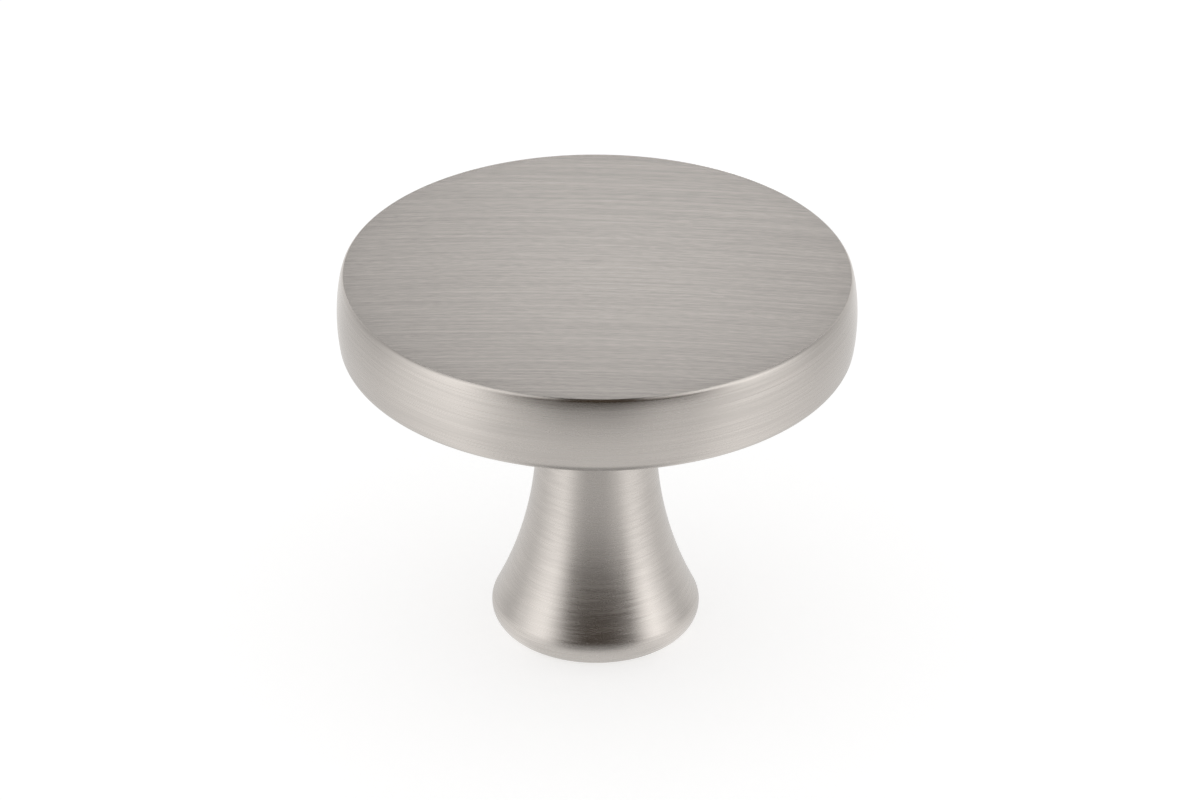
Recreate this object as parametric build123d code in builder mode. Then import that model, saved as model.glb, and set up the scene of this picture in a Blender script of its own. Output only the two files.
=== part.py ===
from build123d import *
from math import asin, degrees, radians, tan
import os

# Cabinet knob: a flat round head with a barrel rim on a waisted stem, cast in one piece and
# tapped from below for the screw that holds it to a door or a drawer front.
# Millimetres. The origin is the centre of the mounting face, and +Z runs up the axis to the head.

# Whole knob
projection = 27.0  # from the mounting face to the finger face

# Head
head_diameter = 35.0  # across the fullest part of the rim
head_thickness = 5.6
rim_bulge = 0.3  # how far the middle of the rim stands out past its two edges
face_edge_radius = 0.45
under_edge_radius = 0.9

# Stem
base_diameter = 14.2  # the widest part of the foot
base_edge_radius = 1.6
shoulder_radius = 1.4  # turns the foot inwards, into the waist
neck_diameter = 8.2
neck_length = 7.0  # straight neck between the waist and the underside of the head

# Screw hole for an M4 machine screw
tap_drill_diameter = 3.3
hole_depth = 14.0  # of the full bore, without the drill point
drill_point_angle = 118.0
mouth_chamfer = 0.6

# Places that follow from the sizes above
head_radius = head_diameter / 2
rim_edge_radius = head_radius - rim_bulge
underside_height = projection - head_thickness
base_radius = base_diameter / 2
neck_radius = neck_diameter / 2
neck_foot_height = underside_height - neck_length
tap_drill_radius = tap_drill_diameter / 2
drill_point_height = tap_drill_radius / tan(radians(drill_point_angle / 2))

# The waist is one hollow arc. It leaves the neck upright and runs out on the shoulder, so the
# distance between the two arcs' centres is the sum of their radii. That sum gives its radius.
waist_height = neck_foot_height - base_edge_radius
flare = base_radius - neck_radius
waist_radius = (waist_height**2 + flare * (flare - 2 * shoulder_radius)) / (2 * flare)
waist_turn = degrees(asin(waist_height / (waist_radius + shoulder_radius)))

with BuildPart() as knob:
    with BuildSketch(Plane.XZ) as section:
        # Half section of the head: finger face, barrel rim and underside, then its two edges rounded
        with BuildLine():
            face = Line((0, projection), (rim_edge_radius, projection))
            rim = SagittaArc(face @ 1, (rim_edge_radius, underside_height), rim_bulge)
            underside = Line(rim @ 1, (0, underside_height))
            Line(underside @ 1, face @ 0)
        make_face()
        fillet(section.vertices().group_by(Axis.Y)[-1].sort_by(Axis.X)[-1], face_edge_radius)
        fillet(section.vertices().group_by(Axis.Y)[0].sort_by(Axis.X)[-1], under_edge_radius)

        # Half section of the stem: foot, shoulder, waist and neck, each arc tangent to the next
        with BuildLine():
            foot = Line((0, 0), (base_radius - base_edge_radius, 0))
            base_edge = JernArc(foot @ 1, foot % 1, base_edge_radius, 90)
            shoulder = JernArc(base_edge @ 1, base_edge % 1, shoulder_radius, waist_turn)
            waist = JernArc(shoulder @ 1, shoulder % 1, waist_radius, -waist_turn)
            neck = Line(waist @ 1, (neck_radius, underside_height))
            stem_top = Line(neck @ 1, (0, underside_height))
            Line(stem_top @ 1, foot @ 0)
        make_face()
    revolve(axis=Axis.Z)

    # Screw hole, drilled up the axis from the mounting face
    with Locations(Plane(origin=(0, 0, 0), z_dir=(0, 0, -1))):
        Hole(radius=tap_drill_radius, depth=hole_depth)
    with Locations((0, 0, hole_depth)):
        Cone(
            bottom_radius=tap_drill_radius,
            top_radius=0,
            height=drill_point_height,
            align=(Align.CENTER, Align.CENTER, Align.MIN),
            mode=Mode.SUBTRACT,
        )
    mouth = knob.faces().sort_by(Axis.Z)[0].inner_wires()[0].edges()
    chamfer(mouth, length=mouth_chamfer)

knob.part.label = "knob"

os.makedirs("parts", exist_ok=True)
export_step(knob.part, "parts/knob.step")
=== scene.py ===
"""A satin brushed cabinet knob: its turned form, its brushed finishes and the studio that shows it.

Lengths are in metres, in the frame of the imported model. +Z runs along the knob's axis, from the mounting
face to the finger face, and +X runs along the brush lines of the finger face. The front is on the -Y side.
"""
import logging
import math
from dataclasses import dataclass, field
from enum import Enum

import bpy
from mathutils import Matrix, Vector


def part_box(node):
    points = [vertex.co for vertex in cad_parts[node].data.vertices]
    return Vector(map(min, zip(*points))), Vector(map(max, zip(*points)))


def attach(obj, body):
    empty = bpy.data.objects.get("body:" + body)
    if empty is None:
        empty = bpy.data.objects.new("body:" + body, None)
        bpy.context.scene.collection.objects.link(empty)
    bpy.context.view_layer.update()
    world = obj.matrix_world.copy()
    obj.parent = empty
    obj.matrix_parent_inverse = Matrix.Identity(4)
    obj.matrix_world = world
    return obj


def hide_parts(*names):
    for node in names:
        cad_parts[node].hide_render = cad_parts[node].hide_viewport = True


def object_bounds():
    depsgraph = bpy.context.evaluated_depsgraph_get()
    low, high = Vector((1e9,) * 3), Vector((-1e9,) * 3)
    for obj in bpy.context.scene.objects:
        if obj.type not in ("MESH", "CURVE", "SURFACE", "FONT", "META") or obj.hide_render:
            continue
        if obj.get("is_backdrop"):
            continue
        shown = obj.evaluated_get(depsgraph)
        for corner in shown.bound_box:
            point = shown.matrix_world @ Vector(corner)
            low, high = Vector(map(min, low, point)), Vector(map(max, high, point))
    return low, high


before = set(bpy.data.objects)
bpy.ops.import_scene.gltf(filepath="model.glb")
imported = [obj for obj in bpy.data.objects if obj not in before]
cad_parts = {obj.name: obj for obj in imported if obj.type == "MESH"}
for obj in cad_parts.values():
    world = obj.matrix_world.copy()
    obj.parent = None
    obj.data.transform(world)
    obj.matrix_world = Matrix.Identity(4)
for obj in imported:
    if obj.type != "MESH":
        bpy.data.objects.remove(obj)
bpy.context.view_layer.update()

MM = 0.001
KNOB_NODE = "knob"
BODY = "root"
RIM_RADIUS = 17.5 * MM
ON_AXIS = 1e-9
SHIFT_SEED = -1.0
QUARTER_TURN = 0.25
MID_TONE = 0.5
WHITE = (1.0, 1.0, 1.0, 1.0)

log = logging.getLogger("knob")


class Wire:
    """An output socket of a node tree. Python's operators on it add Math nodes."""

    def __init__(self, graph: "Graph", socket: bpy.types.NodeSocket) -> None:
        """Wraps one output socket of the graph."""
        self.graph = graph
        self.socket = socket

    def __add__(self, other: "Wire | float") -> "Wire":
        """Adds a value."""
        return self.graph.math("ADD", self, other)

    def __radd__(self, other: "Wire | float") -> "Wire":
        """Adds this to a value."""
        return self.graph.math("ADD", other, self)

    def __sub__(self, other: "Wire | float") -> "Wire":
        """Takes a value off."""
        return self.graph.math("SUBTRACT", self, other)

    def __rsub__(self, other: "Wire | float") -> "Wire":
        """Takes this off a value."""
        return self.graph.math("SUBTRACT", other, self)

    def __mul__(self, other: "Wire | float") -> "Wire":
        """Multiplies by a value."""
        return self.graph.math("MULTIPLY", self, other)

    def __rmul__(self, other: "Wire | float") -> "Wire":
        """Multiplies a value by this."""
        return self.graph.math("MULTIPLY", other, self)

    def __truediv__(self, other: "Wire | float") -> "Wire":
        """Divides by a value."""
        return self.graph.math("DIVIDE", self, other)

    def __abs__(self) -> "Wire":
        """Drops the sign."""
        return self.graph.math("ABSOLUTE", self)

    def clamp(self) -> "Wire":
        """Keeps the value from 0 to 1."""
        return self.graph.math("MINIMUM", self.graph.math("MAXIMUM", self, 0.0), 1.0)

    def above(self, limit: float) -> "Wire":
        """Gives how far the value lies above a limit, or 0 below it."""
        return self.graph.math("MAXIMUM", self - limit, 0.0)

    def rise(self, low: "Wire | float", high: "Wire | float") -> "Wire":
        """Goes softly from 0 to 1.

        Args:
            low: The value at which the rise starts.
            high: The value at which it ends.

        Returns:
            0 below low, 1 above high and a smooth step between them.
        """
        settings = {"interpolation_type": "SMOOTHSTEP"}
        sockets = {"Value": self, "From Min": low, "From Max": high, "To Min": 0.0, "To Max": 1.0}
        return self.graph.add("ShaderNodeMapRange", settings, sockets, "Result")

    def fall(self, low: "Wire | float", high: "Wire | float") -> "Wire":
        """Goes softly from 1 at low to 0 at high."""
        return 1.0 - self.rise(low, high)


class Graph:
    """The node tree of one material or world."""

    def __init__(self, tree: bpy.types.NodeTree) -> None:
        """Takes a tree and empties it."""
        self.tree = tree
        tree.nodes.clear()

    def add(
        self,
        kind: str,
        settings: dict[str, object] | None = None,
        sockets: dict[str | int, object] | None = None,
        output: str | int = 0,
    ) -> Wire:
        """Adds one node.

        Args:
            kind: Blender's name for the type of node.
            settings: Values of the node's own settings, which are set first.
            sockets: Values or wires of its inputs, by identifier, name or number.
            output: The output to wrap, by name or number.

        Returns:
            The wire that leaves the chosen output.
        """
        node = self.tree.nodes.new(kind)
        for name, value in (settings or {}).items():
            setattr(node, name, value)
        by_identifier = {socket.identifier: socket for socket in node.inputs}
        for name, value in (sockets or {}).items():
            socket = by_identifier.get(name) or node.inputs[name]
            if isinstance(value, Wire):
                self.tree.links.new(value.socket, socket)
            else:
                socket.default_value = value
        return Wire(self, node.outputs[output])

    def math(self, operation: str, *values: Wire | float) -> Wire:
        """Adds a Math node on the given values."""
        return self.add("ShaderNodeMath", {"operation": operation}, dict(enumerate(values)))

    def split(self, vector: Wire) -> tuple[Wire, Wire, Wire]:
        """Separates a vector.

        Args:
            vector: The vector to separate.

        Returns:
            Its three coordinates.
        """
        first = self.add("ShaderNodeSeparateXYZ", sockets={"Vector": vector})
        outputs = first.socket.node.outputs
        return first, Wire(self, outputs[1]), Wire(self, outputs[2])

    def join(self, x: Wire | float, y: Wire | float, z: Wire | float) -> Wire:
        """Makes a vector of three values."""
        return self.add("ShaderNodeCombineXYZ", sockets={0: x, 1: y, 2: z})

    def place(self) -> tuple[Wire, Wire, Wire]:
        """Gives the three coordinates of a point, in the frame of the object."""
        return self.split(self.add("ShaderNodeTexCoord", output="Object"))

    def random(self, x: Wire | float, y: Wire | float, z: Wire | float) -> Wire:
        """Gives a value from 0 to 1 that three whole numbers fix."""
        sockets = {"Vector": self.join(x, y, z)}
        return self.add("ShaderNodeTexWhiteNoise", {"noise_dimensions": "3D"}, sockets)

    def blend(self, share: Wire, low: tuple[float, ...], high: tuple[float, ...]) -> Wire:
        """Mixes two colours.

        Args:
            share: How much of the second colour there is, from 0 to 1.
            low: The colour at 0.
            high: The colour at 1.

        Returns:
            The mixed colour.
        """
        sockets = {"Factor_Float": share, "A_Color": low, "B_Color": high}
        return self.add("ShaderNodeMix", {"data_type": "RGBA"}, sockets, 2)

    def bump(self, height: Wire, depth: float) -> Wire:
        """Gives the normal of a surface with heights from 0 to 1, which stand for a given depth."""
        sockets = {"Height": height, "Strength": 1.0, "Distance": depth}
        return self.add("ShaderNodeBump", sockets=sockets)

    def glow(self, red: Wire, green: Wire, blue: Wire) -> Wire:
        """Makes a shader that gives off light, at a level for each of three colours."""
        sockets = {"Color": self.join(red, green, blue), "Strength": 1.0}
        return self.add("ShaderNodeEmission", sockets=sockets)

    def seen(self) -> Wire:
        """Tells the rays that show a thing from those that light by it.

        Returns:
            1 for rays from the camera, mirror rays and rays through glass, and 0 for all others.
        """
        camera = self.add("ShaderNodeLightPath", output="Is Camera Ray")
        outputs = camera.socket.node.outputs
        mirrored = Wire(self, outputs["Is Glossy Ray"])
        through = Wire(self, outputs["Is Transmission Ray"])
        return (camera + mirrored + through).clamp()

    def finish(self, shader: Wire, kind: str = "Material") -> None:
        """Leads a shader to the output node of a material or world."""
        end = self.tree.nodes.new(f"ShaderNodeOutput{kind}")
        self.tree.links.new(shader.socket, end.inputs["Surface"])


def new_material(name: str) -> tuple[bpy.types.Material, Graph]:
    """Makes an empty material.

    Args:
        name: The material's name.

    Returns:
        The material and the graph of its nodes.
    """
    material = bpy.data.materials.new(name)
    material.use_nodes = True
    return material, Graph(material.node_tree)


def new_object(name: str, data: bpy.types.ID) -> bpy.types.Object:
    """Makes an object and links it to the scene.

    Args:
        name: The object's name.
        data: Its mesh or its lens.

    Returns:
        The object, at the origin.
    """
    thing = bpy.data.objects.new(name, data)
    bpy.context.scene.collection.objects.link(thing)
    return thing


class Lay(Enum):
    """The way that the brush lines of a surface run."""

    STRAIGHT = "along X, slightly bowed"
    ROUND = "round the axis"


@dataclass(frozen=True)
class Lines:
    """One size of brush line and its share in the tone. Round the axis, it has its length at the rim."""

    width: float
    length: float
    share: float = 1.0

    @property
    def around(self) -> int:
        """Gives how many lengths go round the rim."""
        return round(math.tau * RIM_RADIUS / self.length)


@dataclass(frozen=True)
class Brushed:
    """Nickel plate over brushed zinc, with fine lines that stretch its highlights across them.

    The lines change the tint by up to the tone, and the roughness by up to half the wear, either way.
    Straight lines are bowed and tilted a little. The start says where, across them, the first line begins.
    """

    name: str
    lay: Lay
    tint: tuple[float, float, float] = (0.625, 0.585, 0.548)
    roughness: float = 0.267
    anisotropy: float = 0.915
    metallic: float = 1.0
    sizes: tuple[Lines, ...] = (
        Lines(0.10 * MM, 0.45 * MM, 0.36),
        Lines(0.11 * MM, 6.5 * MM, 0.37),
        Lines(0.21 * MM, 12.0 * MM, 0.17),
        Lines(0.83 * MM, 22.0 * MM, 0.10),
    )
    tone: float = 0.235
    wear: float = 0.03
    swell: Lines = Lines(0.9 * MM, 41.0 * MM)
    swell_depth: float = 0.0004 * MM
    bow_radius: float = 140.0 * MM
    tilt: float = 0.035
    start: float = 0.37

    def across(self, graph: Graph) -> tuple[Wire | float, Wire | float]:
        """Measures across the lines.

        Args:
            graph: The graph that takes the nodes.

        Returns:
            Two lengths, of which at least one grows from line to line.
        """
        x, y, z = graph.place()
        if self.lay is Lay.STRAIGHT:
            return y + x * x / (2 * self.bow_radius) + x * self.tilt, 0.0
        return z, graph.math("SQRT", x * x + y * y)

    def lines(self, graph: Graph, size: Lines) -> Wire:
        """Draws one size of line, as narrow strips side by side, each of which changes its tone on its way.

        Args:
            graph: The graph that takes the nodes.
            size: The size of the lines.

        Returns:
            Their tone, from 0 to 1.
        """
        places = [length / size.width + self.start for length in self.across(graph)]
        first, second = (graph.math("FLOOR", place) for place in places)
        x, y, _ = graph.place()
        along = x / size.length
        if self.lay is Lay.ROUND:
            along = graph.math("ARCTAN2", x, 0.0 - y) / math.tau * size.around
        along = along + graph.random(first, second, SHIFT_SEED) * size.around
        cell = graph.math("FLOOR", along)
        cells = [graph.math("WRAP", number, size.around, 0.0) for number in (cell, cell + 1.0)]
        here, there = (graph.random(first, second, number) for number in cells)
        return here + (there - here) * (along - cell).rise(0.0, 1.0)

    def swells(self, graph: Graph) -> Wire:
        """Draws the soft swells that run with the lines.

        Args:
            graph: The graph that takes the nodes.

        Returns:
            Their height, from 0 to 1.
        """
        x, y, _ = graph.place()
        first, second = (length / self.swell.width for length in self.across(graph))
        sockets = {"Scale": 1.0, "Detail": 0.0}
        if self.lay is Lay.STRAIGHT:
            sockets["Vector"] = graph.join(x / self.swell.length + self.start, first, 0.0)
            return graph.add("ShaderNodeTexNoise", {"noise_dimensions": "2D"}, sockets)
        sockets["Vector"] = graph.join(x / self.swell.length, y / self.swell.length, first)
        sockets["W"] = second
        return graph.add("ShaderNodeTexNoise", {"noise_dimensions": "4D"}, sockets)

    def shade(self, factor: float) -> tuple[float, float, float, float]:
        """Gives the tint, lighter or darker by a factor."""
        return (*(channel * factor for channel in self.tint), 1.0)

    def tangent(self, graph: Graph) -> Wire:
        """Gives the way from which the shader turns to the way in which a highlight is stretched."""
        axis = "X" if self.lay is Lay.STRAIGHT else "Z"
        return graph.add("ShaderNodeTangent", {"direction_type": "RADIAL", "axis": axis})

    def material(self) -> bpy.types.Material:
        """Makes the material.

        Returns:
            A brushed metal whose lines vary its tone and its gloss, on very low swells.
        """
        material, graph = new_material(self.name)
        first, *others = (self.lines(graph, size) * size.share for size in self.sizes)
        lines = sum(others, start=first)
        sockets = {
            "Base Color": graph.blend(lines, self.shade(1 - self.tone), self.shade(1 + self.tone)),
            "Metallic": self.metallic,
            "Roughness": self.roughness + (lines - MID_TONE) * self.wear,
            "Anisotropic": self.anisotropy,
            "Anisotropic Rotation": 0.0 if self.lay is Lay.STRAIGHT else QUARTER_TURN,
            "Tangent": self.tangent(graph),
            "Normal": graph.bump(self.swells(graph), self.swell_depth),
        }
        graph.finish(graph.add("ShaderNodeBsdfPrincipled", sockets=sockets))
        return material


@dataclass(frozen=True)
class TappedZinc:
    """Bare zinc where the drill and the tap went, under the plate's reach."""

    name: str = "tapped_zinc"
    dark: tuple[float, float, float, float] = (0.30, 0.30, 0.31, 1.0)
    light: tuple[float, float, float, float] = (0.46, 0.46, 0.47, 1.0)
    roughness: float = 0.42
    wear: float = 0.2
    ring_width: float = 0.06 * MM
    ring_depth: float = 0.002 * MM

    def material(self) -> bpy.types.Material:
        """Makes the material.

        Returns:
            A dull grey metal with the fine rings of a drill.
        """
        material, graph = new_material(self.name)
        x, y, z = graph.place()
        stretched = graph.join(x / MM, y / MM, z / self.ring_width)
        rings = graph.add("ShaderNodeTexNoise", sockets={"Vector": stretched, "Scale": 1.0, "Detail": 2.0})
        sockets = {
            "Base Color": graph.blend(rings, self.dark, self.light),
            "Metallic": 1.0,
            "Roughness": self.roughness + (rings - MID_TONE) * self.wear,
            "Normal": graph.bump(rings, self.ring_depth),
        }
        graph.finish(graph.add("ShaderNodeBsdfPrincipled", sockets=sockets))
        return material


class Finish(Enum):
    """The finishes of the knob, in the order of its material slots."""

    FACE = Brushed("face_brushing", Lay.STRAIGHT, roughness=0.255, anisotropy=0.873, metallic=0.75)
    ROUND = Brushed(
        "round_brushing",
        Lay.ROUND,
        sizes=(
            Lines(0.10 * MM, 4.3 * MM, 0.70),
            Lines(0.23 * MM, 8.0 * MM, 0.22),
            Lines(0.71 * MM, 26.0 * MM, 0.08),
        ),
        tone=0.085,
        wear=0.06,
        swell=Lines(0.22 * MM, 11.0 * MM),
        swell_depth=0.0015 * MM,
    )
    TAPPED = TappedZinc()


@dataclass(frozen=True)
class Stop:
    """A point of an outline, and the angle above the horizontal at which the surface faces there."""

    r: float
    z: float
    facing: float


@dataclass(frozen=True)
class Stretch:
    """A smooth part of an outline, with one finish."""

    finish: Finish
    stops: list[Stop]


def flat(
    finish: Finish,
    start: tuple[float, float],
    end: tuple[float, float],
    facing: float,
    steps: int,
) -> Stretch:
    """Makes a straight stretch.

    Args:
        finish: Its finish.
        start: Its first radius and height.
        end: Its last radius and height.
        facing: The angle at which it faces, in radians above the horizontal.
        steps: The number of its parts.

    Returns:
        The stretch, with stops at even distances.
    """
    (r0, z0), (r1, z1) = start, end
    shares = [i / steps for i in range(steps + 1)]
    return Stretch(finish, [Stop(r0 + (r1 - r0) * s, z0 + (z1 - z0) * s, facing) for s in shares])


def arc(
    finish: Finish,
    centre: tuple[float, float],
    radius: float,
    start: float,
    end: float,
    step: float,
) -> Stretch:
    """Makes a round stretch.

    Args:
        finish: Its finish.
        centre: The radius and height of its centre.
        radius: Its radius, negative where it is hollow.
        start: The angle at which it faces at first, in radians above the horizontal.
        end: The angle at which it faces at last.
        step: About how far it turns from stop to stop.

    Returns:
        The stretch, with stops at even angles.
    """
    steps = max(1, math.ceil(abs(end - start) / step))
    angles = [start + (end - start) * i / steps for i in range(steps + 1)]
    r, z = centre
    return Stretch(finish, [Stop(r + radius * math.cos(a), z + radius * math.sin(a), a) for a in angles])


def angle_from(centre: tuple[float, float], point: tuple[float, float]) -> float:
    """Gives the angle above the horizontal at which a point lies from a centre."""
    return math.atan2(point[1] - centre[1], point[0] - centre[0])


@dataclass
class Head:
    """The round head: a flat finger face, a barrel rim and a flat underside.

    The rim starts at a sharp corner with the face, where it faces up by corner_facing. Its small round
    turns into the wide one where it faces up by shoulder_facing, and that one runs on into the barrel.
    """

    radius: float
    top: float
    thickness: float = 5.6 * MM
    rim_bulge: float = 0.3 * MM
    corner_radius: float = 0.45 * MM
    corner_facing: float = math.radians(54)
    shoulder_radius: float = 4.0 * MM
    shoulder_facing: float = math.radians(17)
    crown: float = math.radians(3.5)
    lip: float = math.radians(0.8)
    lip_width: float = 1.4 * MM
    under_edge_radius: float = 0.9 * MM
    fine_step: float = math.radians(5)
    rim_step: float = math.radians(1.3)
    face_steps: int = 20
    underside_steps: int = 3

    @property
    def underside(self) -> float:
        """Gives the height of the underside."""
        return self.top - self.thickness

    def outline(self, inner: float) -> list[Stretch]:
        """Draws the head from the middle of its face to the inner end of its underside.

        Args:
            inner: The radius at which the underside ends.

        Returns:
            The stretches in order.
        """
        # Where two rounds meet smoothly, their centres and the meeting point lie on one line.
        half = self.thickness / 2
        barrel = (half**2 + self.rim_bulge**2) / (2 * self.rim_bulge)
        rim_centre = (self.radius - barrel, self.top - half)
        corner, shoulder = self.corner_radius, self.shoulder_radius
        start, turn = self.corner_facing, self.shoulder_facing
        out = (shoulder - corner) * math.cos(turn)
        up = (shoulder - corner) * math.sin(turn)
        climb = half - up - corner * math.sin(start)
        rim_start = math.asin(climb / (barrel - shoulder))
        reach = (barrel - shoulder) * math.cos(rim_start)
        shoulder_centre = (rim_centre[0] + reach, rim_centre[1] + climb)
        corner_centre = (shoulder_centre[0] + out, shoulder_centre[1] + up)
        low = self.under_edge_radius
        drop = half - low
        low_centre = (rim_centre[0] + math.sqrt((barrel - low) ** 2 - drop**2), self.underside + low)
        rim_end = angle_from(rim_centre, low_centre)
        under_start = (low_centre[0], self.underside)
        down = -math.pi / 2
        return [
            self.face(corner_centre[0] + corner * math.cos(start)),
            arc(Finish.ROUND, corner_centre, corner, start, turn, self.fine_step),
            arc(Finish.ROUND, shoulder_centre, shoulder, turn, rim_start, self.rim_step),
            arc(Finish.ROUND, rim_centre, barrel, rim_start, rim_end, self.rim_step),
            arc(Finish.ROUND, low_centre, low, rim_end, down, self.fine_step),
            flat(Finish.ROUND, under_start, (inner, self.underside), down, self.underside_steps),
        ]

    def face(self, radius: float) -> Stretch:
        """Draws the finger face, which lies flat but leans out a very little, as hand brushing leaves it.

        Args:
            radius: Its radius, at the sharp corner where it cuts the round of the rim's edge.

        Returns:
            The stretch, which leans out most in a narrow lip along the corner.
        """
        stops = []
        for step in range(self.face_steps + 1):
            r = radius * math.sqrt(step / self.face_steps)
            near = max(0.0, 1 - (radius - r) / self.lip_width)
            stops.append(Stop(r, self.top, math.pi / 2 - self.crown * r / radius - self.lip * near))
        return Stretch(Finish.FACE, stops)


@dataclass
class Stem:
    """The waisted stem: a straight neck, a hollow waist and a rounded foot."""

    top: float
    neck_radius: float = 4.1 * MM
    neck_length: float = 7.0 * MM
    root_radius: float = 0.25 * MM
    foot_radius: float = 7.1 * MM
    shoulder_radius: float = 1.4 * MM
    foot_edge_radius: float = 1.6 * MM
    waist_step: float = math.radians(1.1)
    fine_step: float = math.radians(5)
    root_step: float = math.radians(15)
    flat_steps: int = 3

    @property
    def underside_end(self) -> float:
        """Gives the radius at which the head's underside turns into the neck."""
        return self.neck_radius + self.root_radius

    def outline(self, mouth: float) -> list[Stretch]:
        """Draws the stem from the head's underside to the mouth of the screw hole.

        Args:
            mouth: The radius of the hole's mouth.

        Returns:
            The stretches in order.
        """
        # The waist is the one arc that runs smoothly into both the neck and the round over the foot.
        neck_foot = self.top - self.neck_length
        rise = neck_foot - self.foot_edge_radius
        flare = self.foot_radius - self.neck_radius
        waist = (rise**2 + flare * (flare - 2 * self.shoulder_radius)) / (2 * flare)
        turn = math.asin(rise / (waist + self.shoulder_radius))
        root = self.root_radius
        down = -math.pi / 2
        shoulder_centre = (self.foot_radius - self.shoulder_radius, self.foot_edge_radius)
        edge_centre = (self.foot_radius - self.foot_edge_radius, self.foot_edge_radius)
        neck = self.neck_radius
        finish = Finish.ROUND
        return [
            arc(finish, (neck + root, self.top - root), -root, down, 0.0, self.root_step),
            flat(finish, (neck, self.top - root), (neck, neck_foot), 0.0, self.flat_steps),
            arc(finish, (neck + waist, neck_foot), -waist, 0.0, turn, self.waist_step),
            arc(finish, shoulder_centre, self.shoulder_radius, turn, 0.0, self.fine_step),
            arc(finish, edge_centre, self.foot_edge_radius, 0.0, down, self.fine_step),
            flat(finish, (edge_centre[0], 0.0), (mouth, 0.0), down, self.flat_steps),
        ]


@dataclass(frozen=True)
class Thread:
    """A right-handed metric thread, cut outward into the wall of a hole and fading out at both its ends.

    The root's share and the two fades are in turns. Each turn has four rows of points, at both ends of
    its crest and of its root.
    """

    finish: Finish
    minor: float
    low: float
    high: float
    major: float = 2.0 * MM
    pitch: float = 0.7 * MM
    flank_angle: float = math.radians(30)
    root_share: float = 0.125
    fade_in: float = 0.5
    fade_out: float = 1.0
    rows: int = 4

    def place(self, row: int, turned: float) -> tuple[float, float]:
        """Finds a point of the thread's outline.

        Args:
            row: The number of the point's row, counted up from the thread's lower end.
            turned: The share of a turn round the axis.

        Returns:
            The radius and the height of the point there.
        """
        depth = self.major - self.minor
        flank = depth * math.tan(self.flank_angle)
        root = self.pitch * self.root_share
        crest = self.pitch - 2 * flank - root
        corners = ((0.0, 0.0), (crest, 0.0), (crest + flank, depth), (crest + flank + root, depth))
        turn, number = divmod(row, self.rows)
        along, cut = corners[number]
        z = self.low + (turn + turned) * self.pitch + along
        fade_in = (z - self.low) / (self.pitch * self.fade_in)
        fade_out = (self.high - z) / (self.pitch * self.fade_out)
        return self.minor + cut * max(0.0, min(1.0, fade_in, fade_out)), z

    @property
    def turns(self) -> int:
        """Gives the number of turns that reach past both ends."""
        return math.ceil((self.high - self.low) / self.pitch) + 1


@dataclass
class ScrewHole:
    """The blind hole in the foot, drilled and tapped for a metric machine screw."""

    radius: float = 1.65 * MM
    depth: float = 14.0 * MM
    thread_depth: float = 12.0 * MM
    mouth_chamfer: float = 0.6 * MM
    chamfer_facing: float = math.radians(-135)
    point_angle: float = math.radians(118)
    flat_steps: int = 2

    @property
    def mouth_radius(self) -> float:
        """Gives the radius of the mouth, at the mounting face."""
        return self.radius + self.mouth_chamfer

    def outline(self) -> list[Stretch | Thread]:
        """Draws the hole from its mouth to the tip that the drill left.

        Returns:
            The chamfer, the thread, the plain wall above it and the cone, in order.
        """
        half = self.point_angle / 2
        mouth = (self.mouth_radius, 0.0)
        chamfer_top = (self.radius, self.mouth_chamfer)
        thread_top = (self.radius, self.thread_depth)
        wall_top = (self.radius, self.depth)
        tip = (0.0, self.depth + self.radius / math.tan(half))
        return [
            flat(Finish.ROUND, mouth, chamfer_top, self.chamfer_facing, self.flat_steps),
            Thread(Finish.TAPPED, self.radius, self.mouth_chamfer, self.thread_depth),
            flat(Finish.TAPPED, thread_top, wall_top, math.pi, self.flat_steps),
            flat(Finish.TAPPED, wall_top, tip, half - math.pi, self.flat_steps),
        ]


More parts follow.
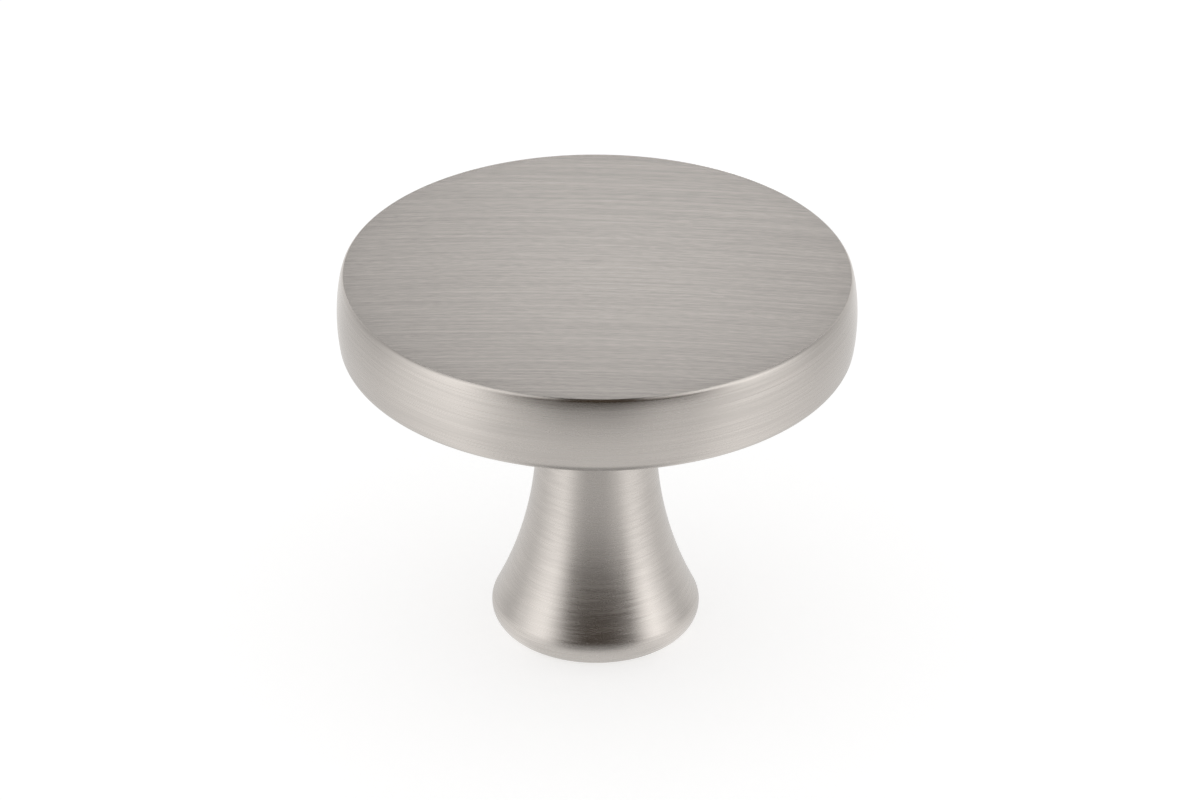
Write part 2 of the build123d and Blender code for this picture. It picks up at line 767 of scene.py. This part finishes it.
@dataclass
class Lathe:
    """Turns an outline into one closed mesh, stretch by stretch."""

    sectors: int = 320
    points: list[tuple[float, float, float]] = field(default_factory=list)
    faces: list[tuple[int, ...]] = field(default_factory=list)
    slots: list[int] = field(default_factory=list)
    normals: list[Vector] = field(default_factory=list)
    last: list[int] = field(default_factory=list)

    def out(self, sector: int) -> Vector:
        """Gives the way out from the axis at a sector."""
        turn = math.tau * sector / self.sectors
        return Vector((math.cos(turn), math.sin(turn), 0.0))

    def normal(self, stop: Stop, sector: int) -> Vector:
        """Gives the way that the surface faces at a stop."""
        return self.out(sector) * math.cos(stop.facing) + Vector((0.0, 0.0, math.sin(stop.facing)))

    def point(self, r: float, z: float, sector: int) -> int:
        """Adds a point.

        Args:
            r: Its distance from the axis.
            z: Its height.
            sector: The sector in which it lies.

        Returns:
            Its number.
        """
        way = self.out(sector)
        self.points.append((r * way.x, r * way.y, z))
        return len(self.points) - 1

    def ring(self, r: float, z: float) -> list[int]:
        """Adds a ring of points, which is one point on the axis.

        Args:
            r: Its radius.
            z: Its height.

        Returns:
            The number of the point in each sector.
        """
        if r < ON_AXIS:
            return [self.point(0.0, z, 0)] * self.sectors
        return [self.point(r, z, i) for i in range(self.sectors)]

    def face(self, corners: list[tuple[int, Vector]], finish: Finish) -> None:
        """Adds a face, unless its corners fall together.

        Args:
            corners: The number of the point at each corner, and the normal there.
            finish: The face's finish.
        """
        kept = [corner for n, corner in enumerate(corners) if corner[0] != corners[n - 1][0]]
        if len(kept) < 3:
            return
        self.faces.append(tuple(number for number, _ in kept))
        self.normals += [normal for _, normal in kept]
        self.slots.append(list(Finish).index(finish))

    def turn(self, stretch: Stretch) -> None:
        """Turns a smooth stretch on from the last ring, or from its own start if there is none.

        Args:
            stretch: The stretch, which starts where the last one ends.
        """
        first = stretch.stops[0]
        self.last = self.last or self.ring(first.r, first.z)
        for before, after in zip(stretch.stops, stretch.stops[1:]):
            old, new = self.last, self.ring(after.r, after.z)
            for i in range(self.sectors):
                j = (i + 1) % self.sectors
                corners = [(old, before, i), (new, after, i), (new, after, j), (old, before, j)]
                self.face([(ring[k], self.normal(stop, k)) for ring, stop, k in corners], stretch.finish)
            self.last = new

    def cut(self, thread: Thread) -> None:
        """Winds a thread on from the last ring, up to a ring at its own upper end.

        Args:
            thread: The thread, which starts where the last stretch ends.
        """
        top = self.ring(thread.minor, thread.high)
        numbers: dict[tuple[int, int], int] = {}

        def corner(row: int, sector: int) -> int:
            """Finds the point at a corner, which one turn on is a corner of the next turn.

            Args:
                row: The corner's row, counted up from the thread's lower end.
                sector: The sector in which it lies.

            Returns:
                The point's number.
            """
            row += sector // self.sectors * thread.rows
            sector %= self.sectors
            r, z = thread.place(row, sector / self.sectors)
            if z <= thread.low:
                return self.last[sector]
            if z >= thread.high:
                return top[sector]
            if (row, sector) not in numbers:
                numbers[row, sector] = self.point(r, z, sector)
            return numbers[row, sector]

        for row in range(-thread.rows, thread.turns * thread.rows):
            for i in range(self.sectors):
                quad = [corner(row, i), corner(row + 1, i), corner(row + 1, i + 1), corner(row, i + 1)]
                a, b, c, d = (Vector(self.points[number]) for number in quad)
                normal = (c - a).cross(d - b)
                self.face([(number, normal.normalized()) for number in quad], thread.finish)
        self.last = top

    def mesh(self, name: str, outline: list[Stretch | Thread]) -> bpy.types.Mesh:
        """Turns an outline that starts and ends on the axis.

        Args:
            name: The mesh's name.
            outline: The parts of the outline in order, each starting where the one before it ends.

        Returns:
            The mesh, with a finish and true normals on each face.
        """
        for part in outline:
            if isinstance(part, Thread):
                self.cut(part)
            else:
                self.turn(part)
        mesh = bpy.data.meshes.new(name)
        mesh.from_pydata(self.points, [], self.faces)
        mesh.polygons.foreach_set("material_index", self.slots)
        mesh.polygons.foreach_set("use_smooth", [True] * len(self.faces))
        mesh.normals_split_custom_set(self.normals)
        mesh.update()
        return mesh


@dataclass
class Knob:
    """The whole knob, one turned casting."""

    head: Head
    stem: Stem
    hole: ScrewHole

    def build(self) -> bpy.types.Object:
        """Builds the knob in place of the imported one.

        Returns:
            The knob.
        """
        outline = (
            self.head.outline(self.stem.underside_end)
            + self.stem.outline(self.hole.mouth_radius)
            + self.hole.outline()
        )
        knob = new_object("turned_knob", Lathe().mesh("turned_knob", outline))
        self.dress(knob)
        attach(knob, BODY)
        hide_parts(KNOB_NODE)
        return knob

    def dress(self, knob: bpy.types.Object) -> None:
        """Gives the knob its finishes, in the order of its slots."""
        for finish in Finish:
            knob.data.materials.append(finish.value.material())


def sheet(name: str, half_size: float, gap: float) -> bpy.types.Object:
    """Lays a square sheet under the knob.

    Args:
        name: The sheet's name.
        half_size: Half the length of its sides.
        gap: How far it lies below the mounting face.

    Returns:
        The sheet, which has no material yet.
    """
    h = half_size
    mesh = bpy.data.meshes.new(name)
    mesh.from_pydata([(-h, -h, 0), (h, -h, 0), (h, h, 0), (-h, h, 0)], [], [(0, 1, 2, 3)])
    thing = new_object(name, mesh)
    thing.location.z = -gap
    return thing


@dataclass
class Floor:
    """The pale sheet on which the knob stands."""

    half_size: float = 2.0
    gap: float = 0.05 * MM
    colour: tuple[float, float, float, float] = (0.72, 0.72, 0.72, 1.0)
    lift: float = 0.54

    def build(self) -> bpy.types.Object:
        """Lays the sheet.

        Returns:
            The sheet, marked as part of the stage.
        """
        floor = sheet("floor", self.half_size, self.gap)
        floor.data.materials.append(self.material())
        floor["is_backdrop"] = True
        return floor

    def material(self) -> bpy.types.Material:
        """Makes the sheet's material.

        Returns:
            A pale matt surface that the camera and mirror rays see a little lighter, with shadows kept.
        """
        material, graph = new_material("floor")
        matt = graph.add("ShaderNodeBsdfDiffuse", sockets={"Color": self.colour})
        sockets = {"Color": WHITE, "Strength": graph.seen() * self.lift}
        lift = graph.add("ShaderNodeEmission", sockets=sockets)
        graph.finish(graph.add("ShaderNodeAddShader", sockets={0: matt, 1: lift}))
        return material


@dataclass(frozen=True)
class Direction:
    """The way from the knob to a place round it.

    The side goes from -1 at the left to 1 at the right. The azimuth is the angle from the front, to either
    side, and the elevation is the angle above the horizontal. The last wire is 1 on the right, or else 0.
    """

    side: Wire
    azimuth: Wire
    elevation: Wire
    on_right: Wire

    @classmethod
    def to(cls, graph: Graph, coordinates: Wire) -> "Direction":
        """Works out the way to a place.

        Args:
            graph: The graph that takes the nodes.
            coordinates: The place, with the knob at the origin.

        Returns:
            The way there.
        """
        way = graph.add("ShaderNodeVectorMath", {"operation": "NORMALIZE"}, {0: coordinates})
        x, y, z = graph.split(way)
        azimuth = graph.math("ARCTAN2", abs(x), 0.0 - y)
        return cls(x, azimuth, graph.math("ARCSINE", z), graph.math("GREATER_THAN", x, 0.0))

    def choose(self, sides: tuple[float, float]) -> Wire:
        """Gives the first of two values on the left and the second on the right."""
        left, right = sides
        return left + self.on_right * (right - left)


def mirrored_only(thing: bpy.types.Object, material: bpy.types.Material) -> None:
    """Makes a part of the stage show only in what the metal mirrors, so that the floor's light stays plain.

    Args:
        thing: The part of the stage.
        material: Its light.
    """
    thing.data.materials.append(material)
    thing.visible_camera = False
    thing.visible_diffuse = False
    thing.visible_shadow = False
    material.cycles.emission_sampling = "NONE"
    thing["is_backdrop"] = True


@dataclass
class TableGlow:
    """A glowing sheet under the knob, painted with the table's light and shade: dark far off in front,
    brighter to both sides.

    A pair of angles from the front, or of distances from the knob, is where a change starts and ends. The
    pairs of levels in sides and outer_sides are those of the left and the right.
    """

    half_size: float = 1.0
    gap: float = 0.02 * MM
    level: float = 0.826
    sides: tuple[float, float] = (0.196, 0.205)
    side_start: tuple[float, float] = (math.radians(31), math.radians(57))
    side_end: tuple[float, float] = (math.radians(56), math.radians(104))
    outer_sides: tuple[float, float] = (0.14, -0.14)
    outer_reach: tuple[float, float] = (45.0 * MM, 95.0 * MM)
    dip: float = 0.17
    dip_start: tuple[float, float] = (math.radians(80), math.radians(105))
    dip_end: tuple[float, float] = (math.radians(115), math.radians(140))
    back: float = 0.22
    back_start: tuple[float, float] = (math.radians(128), math.radians(155))
    back_reach: tuple[float, float] = (25.0 * MM, 50.0 * MM)
    # near_shade, near_width, near_start and near_end shape the painted shadow that the head casts on the
    # table in front of the foot.
    near_shade: float = 0.75
    near_width: tuple[float, float] = (math.radians(14), math.radians(44))
    near_start: tuple[float, float] = (9.0 * MM, 13.0 * MM)
    near_end: tuple[float, float] = (18.0 * MM, 31.0 * MM)
    far_shade: float = 0.87
    far_width: tuple[float, float] = (math.radians(8.7), math.radians(37))
    far_skew: float = math.radians(5)
    far_reach: tuple[float, float] = (96.0 * MM, 143.0 * MM)

    def build(self) -> bpy.types.Object:
        """Lays the glowing sheet.

        Returns:
            The sheet, marked as part of the stage.
        """
        cloth = sheet("table_glow", self.half_size, self.gap)
        mirrored_only(cloth, self.material())
        return cloth

    def lobes(self, way: Direction, outer: Wire) -> Wire:
        """Draws the brighter lobe of painted light on each side.

        Args:
            way: The way to the place on the sheet.
            outer: 0 near the knob and 1 far from it.

        Returns:
            The light to add.
        """
        lobe = way.azimuth.rise(*self.side_start) * way.azimuth.fall(*self.side_end)
        return (way.choose(self.sides) + way.choose(self.outer_sides) * outer) * lobe

    def wedge(self, way: Direction, far: Wire) -> Wire:
        """Draws two wedges of painted shade in front: a short one near the knob, which is a painted shadow
        under the head, and one that starts far off.

        Args:
            way: The way to the place on the sheet.
            far: The distance to it.

        Returns:
            The share of the light that is left.
        """
        # The near wedge is a painted shadow of the head on the table; the distant one is painted shade far
        # off in front.
        near = way.azimuth.fall(*self.near_width) * far.rise(*self.near_start) * far.fall(*self.near_end)
        skewed = way.azimuth + way.on_right * self.far_skew
        distant = skewed.fall(*self.far_width) * far.rise(*self.far_reach)
        return (1.0 - near * self.near_shade) * (1.0 - distant * self.far_shade)

    def material(self) -> bpy.types.Material:
        """Makes the sheet's glow, which paints the table's light and shade as the metal mirrors it.

        Returns:
            An even glow, with a brighter lobe of painted light on each side and wedges of painted shade in
            front.
        """
        material, graph = new_material("table_glow")
        coordinates = graph.add("ShaderNodeTexCoord", output="Object")
        way = Direction.to(graph, coordinates)
        far = graph.add("ShaderNodeVectorMath", {"operation": "LENGTH"}, {0: coordinates}, "Value")
        outer = far.rise(*self.outer_reach)
        dip = way.azimuth.rise(*self.dip_start) * way.azimuth.fall(*self.dip_end) * outer * self.dip
        back = way.azimuth.rise(*self.back_start) * far.rise(*self.back_reach) * self.back
        # The level, the lobes, the back and the dip are the table's light and shade, painted into the glow.
        light = self.level + self.lobes(way, outer) + back - dip
        light = light * self.wedge(way, far)
        graph.finish(graph.glow(light, light, light))
        return material


@dataclass
class LightTent:
    """A tent of lit cloth over the knob, open at the front, where a dark curtain hangs.

    A pair of angles, or of ways to the side, is where a change starts and ends. The panels' levels and the
    openings' angles are those of the left and the right, and the warmth is the share of green and of blue
    that the curtain lacks.
    """

    centre: Vector
    radius: float = 1.2
    columns: int = 48
    rows: int = 12
    curtain: float = 0.036
    curtain_top: float = 0.045
    curtain_rise: tuple[float, float] = (math.radians(20), math.radians(55))
    warmth: tuple[float, float] = (0.3, 0.55)
    openings: tuple[float, float] = (math.radians(45.5), math.radians(54.5))
    opening_soft: float = math.radians(17.5)
    opening_bend: float = math.radians(20)
    opening_lean: float = -0.8
    wall: float = 0.47
    crown: float = 0.1
    crown_rise: tuple[float, float] = (math.radians(45), math.radians(75))
    panels: tuple[float, float] = (0.91, 1.11)
    panel_end: float = math.radians(93.5)
    panel_soft: float = math.radians(23.3)
    panel_lean: float = -0.31
    panel_top: tuple[float, float] = (math.radians(46), math.radians(68))
    middle: float = 0.012
    flank: float = 0.38
    flank_start: tuple[float, float] = (0.20, 0.38)
    flank_end: tuple[float, float] = (0.50, 0.92)
    flank_rest: float = 0.2
    dim: float = 0.31
    dim_rise: tuple[float, float] = (math.radians(24), math.radians(43))
    strip: float = 2.0
    strip_half: float = 0.266
    strip_rise: tuple[float, float] = (math.radians(20.5), math.radians(37.2))
    strip_fall: tuple[float, float] = (math.radians(35.3), math.radians(41.7))
    ridge_shade: float = 0.97
    ridge_half: tuple[float, float] = (0.194, 0.231)
    ridge_rise: tuple[float, float] = (math.radians(31.8), math.radians(34.9))
    ridge_fall: tuple[float, float] = (math.radians(76), math.radians(87))

    def build(self) -> bpy.types.Object:
        """Puts up the tent.

        Returns:
            The tent, marked as part of the stage.
        """
        tent = new_object("light_tent", self.mesh())
        tent.location = self.centre
        mirrored_only(tent, self.material())
        return tent

    def mesh(self) -> bpy.types.Mesh:
        """Makes the dome of the tent, down to the table.

        Returns:
            The dome's mesh, round the tent's own origin.
        """
        low = -math.asin(self.centre.z / self.radius)
        points = []
        for j in range(self.rows):
            elevation = low + (math.pi / 2 - low) * j / self.rows
            out = math.cos(elevation) * self.radius
            height = math.sin(elevation) * self.radius
            for i in range(self.columns):
                azimuth = math.tau * i / self.columns
                points.append((out * math.cos(azimuth), out * math.sin(azimuth), height))
        points.append((0.0, 0.0, self.radius))
        last, top = (self.rows - 1) * self.columns, self.rows * self.columns
        faces = []
        for i in range(self.columns):
            k = (i + 1) % self.columns
            for a in range(0, last, self.columns):
                b = a + self.columns
                faces.append((a + i, b + i, b + k, a + k))
            faces.append((last + i, top, last + k))
        mesh = bpy.data.meshes.new("light_tent")
        mesh.from_pydata(points, [], faces)
        return mesh

    def edge(self, way: Direction) -> Wire:
        """Draws the edges of the opening in front, which lean together above the bend.

        Args:
            way: The way to the place on the tent.

        Returns:
            0 on the curtain in the opening and 1 on the cloth beside it.
        """
        edge = way.choose(self.openings) + way.elevation.above(self.opening_bend) * self.opening_lean
        return way.azimuth.rise(edge - self.opening_soft, edge + self.opening_soft)

    def panel(self, way: Direction) -> Wire:
        """Draws the bright panel on each side.

        Args:
            way: The way to the place on the tent.

        Returns:
            The light to add.
        """
        end = self.panel_end + way.elevation * self.panel_lean
        reach = way.azimuth.fall(end - self.panel_soft, end + self.panel_soft)
        return reach * way.elevation.fall(*self.panel_top) * way.choose(self.panels)

    def back(self, way: Direction, aside: Wire) -> Wire:
        """Draws what is behind the knob: a brighter flank on each side, and a dimmer part high up.

        Args:
            way: The way to the place on the tent.
            aside: How far the place is to the side from the middle.

        Returns:
            The light to add.
        """
        outer = self.flank_rest + aside.fall(*self.flank_end) * (1 - self.flank_rest)
        dim = way.elevation.rise(*self.dim_rise) * self.dim
        return aside.rise(*self.flank_start) * outer * self.flank - dim

    def bright_strip(self, way: Direction, aside: Wire) -> Wire:
        """Draws the bright strip behind the knob.

        Args:
            way: The way to the place on the tent.
            aside: How far the place is to the side from the middle.

        Returns:
            The light to add.
        """
        strip = aside.fall(0.0, self.strip_half) * way.elevation.rise(*self.strip_rise)
        return strip * way.elevation.fall(*self.strip_fall) * self.strip

    def dark_ridge(self, way: Direction, aside: Wire) -> Wire:
        """Draws the dark ridge along the top of the tent, from behind to the front.

        Args:
            way: The way to the place on the tent.
            aside: How far the place is to the side from the middle.

        Returns:
            The share of the cloth's light that is left.
        """
        ridge = aside.fall(*self.ridge_half) * way.elevation.rise(*self.ridge_rise)
        return 1.0 - ridge * way.elevation.fall(*self.ridge_fall) * self.ridge_shade

    def material(self) -> bpy.types.Material:
        """Makes the tent's light.

        Returns:
            An even wall with bright panels at the sides, a bright strip behind and a dark opening in front.
        """
        material, graph = new_material("light_tent")
        way = Direction.to(graph, graph.add("ShaderNodeTexCoord", output="Object"))
        behind = graph.math("GREATER_THAN", way.azimuth, math.pi / 2)
        aside = abs(way.side - self.middle)
        lit = self.edge(way)
        cloth = self.wall + self.panel(way) + way.elevation.rise(*self.crown_rise) * self.crown
        cloth = (cloth + behind * self.back(way, aside)) * self.dark_ridge(way, aside)
        curtain = self.curtain + way.elevation.rise(*self.curtain_rise) * self.curtain_top
        light = curtain + lit * (cloth - curtain) + behind * self.bright_strip(way, aside)
        dark = (1.0 - lit) * curtain
        green_loss, blue_loss = (dark * loss for loss in self.warmth)
        graph.finish(graph.glow(light, light - green_loss, light - blue_loss))
        return material


@dataclass
class Room:
    """What lies behind the floor: a plain white world."""

    others: float = 0.7

    def build(self) -> None:
        """Sets the world, white to the camera and to mirror rays, and a little less for all other light."""
        world = bpy.data.worlds.new("room")
        world.use_nodes = True
        bpy.context.scene.world = world
        graph = Graph(world.node_tree)
        strength = self.others + graph.seen() * (1.0 - self.others)
        sockets = {"Color": WHITE, "Strength": strength}
        graph.finish(graph.add("ShaderNodeBackground", sockets=sockets), "World")


@dataclass
class View:
    """The camera, in front of the knob and above it."""

    distance: float = 0.5
    elevation: float = math.radians(30.085)
    aim_height: float = 13.5 * MM
    aside: float = 0.229 * MM
    above: float = 3.236 * MM
    roll: float = math.radians(0.332)
    focal_length: float = 220.9
    near_clip: float = 0.01
    far_clip: float = 10.0

    def build(self) -> bpy.types.Object:
        """Sets up the camera.

        Returns:
            The camera, which the scene then uses.
        """
        back = Vector((0.0, -math.cos(self.elevation), math.sin(self.elevation)))
        up = Vector((0.0, math.sin(self.elevation), math.cos(self.elevation)))
        axis_point = Vector((0.0, 0.0, self.aim_height))
        eye = axis_point + back * self.distance
        target = axis_point + Vector((self.aside, 0.0, 0.0)) + up * self.above
        lens = bpy.data.cameras.new("camera")
        lens.lens = self.focal_length
        lens.clip_start = self.near_clip
        lens.clip_end = self.far_clip
        camera = new_object("camera", lens)
        turn = (target - eye).to_track_quat("-Z", "Y").to_matrix() @ Matrix.Rotation(self.roll, 3, "Z")
        camera.matrix_world = Matrix.Translation(eye) @ turn.to_4x4()
        bpy.context.scene.camera = camera
        return camera


def report(what: bpy.types.Object) -> None:
    """Logs a piece with its size."""
    size = " x ".join(f"{side / MM:.1f}" for side in what.dimensions)
    log.info("built %s, %s mm", what.name, size)


def main() -> None:
    """Builds the knob and its studio."""
    logging.basicConfig(level=logging.INFO, format="%(message)s")
    bpy.context.scene.view_settings.view_transform = "Standard"
    low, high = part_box(KNOB_NODE)
    head = Head(radius=min(-low.x, -low.y, high.x, high.y), top=high.z)
    knob = Knob(head, Stem(top=head.underside), ScrewHole())
    report(knob.build())
    report(Floor().build())
    report(TableGlow().build())
    report(LightTent(centre=Vector((0.0, 0.0, (low.z + high.z) / 2))).build())
    Room().build()
    report(View().build())
    low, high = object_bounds()


if __name__ == "__main__":
    main()
